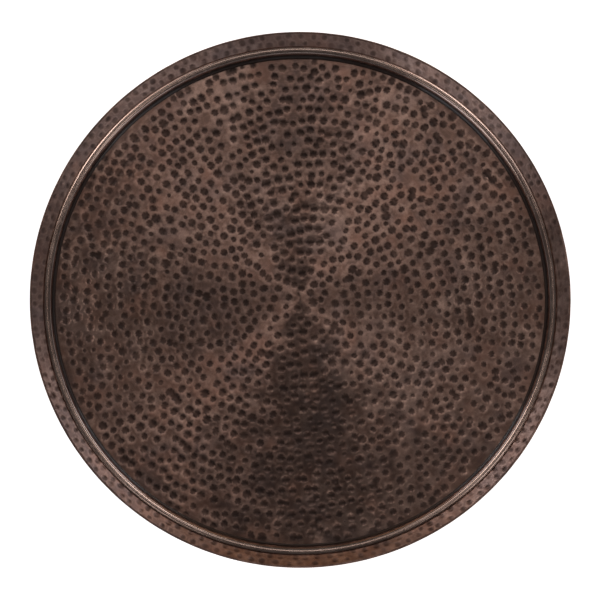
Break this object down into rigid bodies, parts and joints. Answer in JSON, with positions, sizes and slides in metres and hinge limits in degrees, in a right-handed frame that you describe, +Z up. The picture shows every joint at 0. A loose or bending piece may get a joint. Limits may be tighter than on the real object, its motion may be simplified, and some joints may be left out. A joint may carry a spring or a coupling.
{
  "type": "lazy susan",
  "caption": "Round hammered-copper serving tray with a low flared rim and a polished bead, turning on a low swivel base.",
  "frame": {"origin": "on the surface that the feet stand on, on the axis that the tray turns about", "axes": "+Z up along the turning axis; +X points at the screwdriver access hole in the base"},
  "size_m": [0.4572, 0.4572, 0.0494],
  "materials": {
    "hammered_copper": "dark antique patina, hammered, satin",
    "polished_copper": "dark antique patina, burnished",
    "stained_wood": "dark walnut stain, satin lacquer",
    "zinc_steel": "zinc plated",
    "screw_steel": "zinc plated",
    "ball_steel": "polished bearing steel",
    "nylon": "moulded, matt",
    "rubber": "matt"
  },
  "bodies": {
    "base": {"base_disc": "stained_wood", "lower_race": "zinc_steel", "lower_screw_1": "screw_steel", "lower_screw_2": "screw_steel", "lower_screw_3": "screw_steel", "lower_screw_4": "screw_steel", "foot_1": "rubber", "foot_2": "rubber", "foot_3": "rubber", "foot_4": "rubber", "foot_5": "rubber", "foot_6": "rubber", "foot_screw_1": "screw_steel", "foot_screw_2": "screw_steel", "foot_screw_3": "screw_steel", "foot_screw_4": "screw_steel", "foot_screw_5": "screw_steel", "foot_screw_6": "screw_steel"},
    "ball_cage": {"ball_retainer": "nylon", "ball_1": "ball_steel", "ball_2": "ball_steel", "ball_3": "ball_steel", "ball_4": "ball_steel", "ball_5": "ball_steel", "ball_6": "ball_steel", "ball_7": "ball_steel", "ball_8": "ball_steel", "ball_9": "ball_steel", "ball_10": "ball_steel"},
    "tray": {"copper_pan": "hammered_copper", "bead_moulding": "polished_copper", "support_board": "stained_wood", "upper_race": "zinc_steel", "hollow_rivet": "zinc_steel", "upper_screw_1": "screw_steel", "upper_screw_2": "screw_steel", "upper_screw_3": "screw_steel", "upper_screw_4": "screw_steel"}
  },
  "joints": [
    {"name": "tray_spin", "type": "hinge", "parent": "base", "child": "tray", "pos_m": [0, 0, 0.01887], "axis": [0, 0, 1], "continuous": true},
    {"name": "cage_spin", "type": "hinge", "parent": "base", "child": "ball_cage", "pos_m": [0, 0, 0.01887], "axis": [0, 0, 1], "continuous": true}
  ],
  "couplings": [
    {"joint": "cage_spin", "follows": "tray_spin", "ratio": 0.5}
  ]
}
